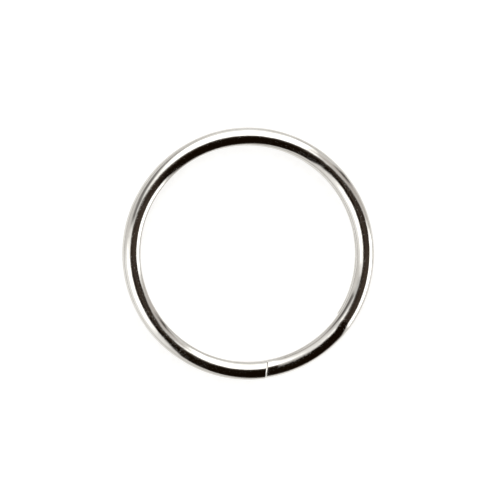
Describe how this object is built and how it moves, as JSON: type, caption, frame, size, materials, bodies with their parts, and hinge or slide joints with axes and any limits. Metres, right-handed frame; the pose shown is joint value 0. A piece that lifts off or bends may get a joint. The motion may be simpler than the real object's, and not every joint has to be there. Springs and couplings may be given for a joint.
{
  "type": "split key ring",
  "caption": "Flat-lying split key ring of sprung oval wire: its coils overlap, and either cut end pries away from the other coil so that a key or fob can be slid on.",
  "frame": {"origin": "centre of the eye, on the parting plane between the two coils", "axes": "+Z along the eye's axis towards the front coil; +X points right with the front cut end near the bottom of the ring, at 81 degrees clockwise from +X"},
  "size_m": [0.032, 0.032, 0.0026],
  "materials": {
    "nickel_plate": "polished"
  },
  "bodies": {
    "fixed_wire": {"front_fixed_turn": "nickel_plate", "crossover": "nickel_plate", "back_fixed_turn": "nickel_plate"},
    "front_free_end": {"front_free_turn": "nickel_plate", "front_cut_end": "nickel_plate"},
    "back_free_end": {"back_free_turn": "nickel_plate", "back_cut_end": "nickel_plate"}
  },
  "joints": [
    {"name": "front_pry", "type": "hinge", "parent": "fixed_wire", "child": "front_free_end", "pos_m": [-0.0025, 0.0158, 0.00068], "axis": [-0.9877, -0.1564, 0], "range_deg": [0, 5.6], "stiffness_Nm_per_rad": 2.5},
    {"name": "back_pry", "type": "hinge", "parent": "fixed_wire", "child": "back_free_end", "pos_m": [-0.01311, 0.00918, -0.00068], "axis": [0.5736, 0.8192, 0], "range_deg": [0, 5.6], "stiffness_Nm_per_rad": 2.5}
  ]
}
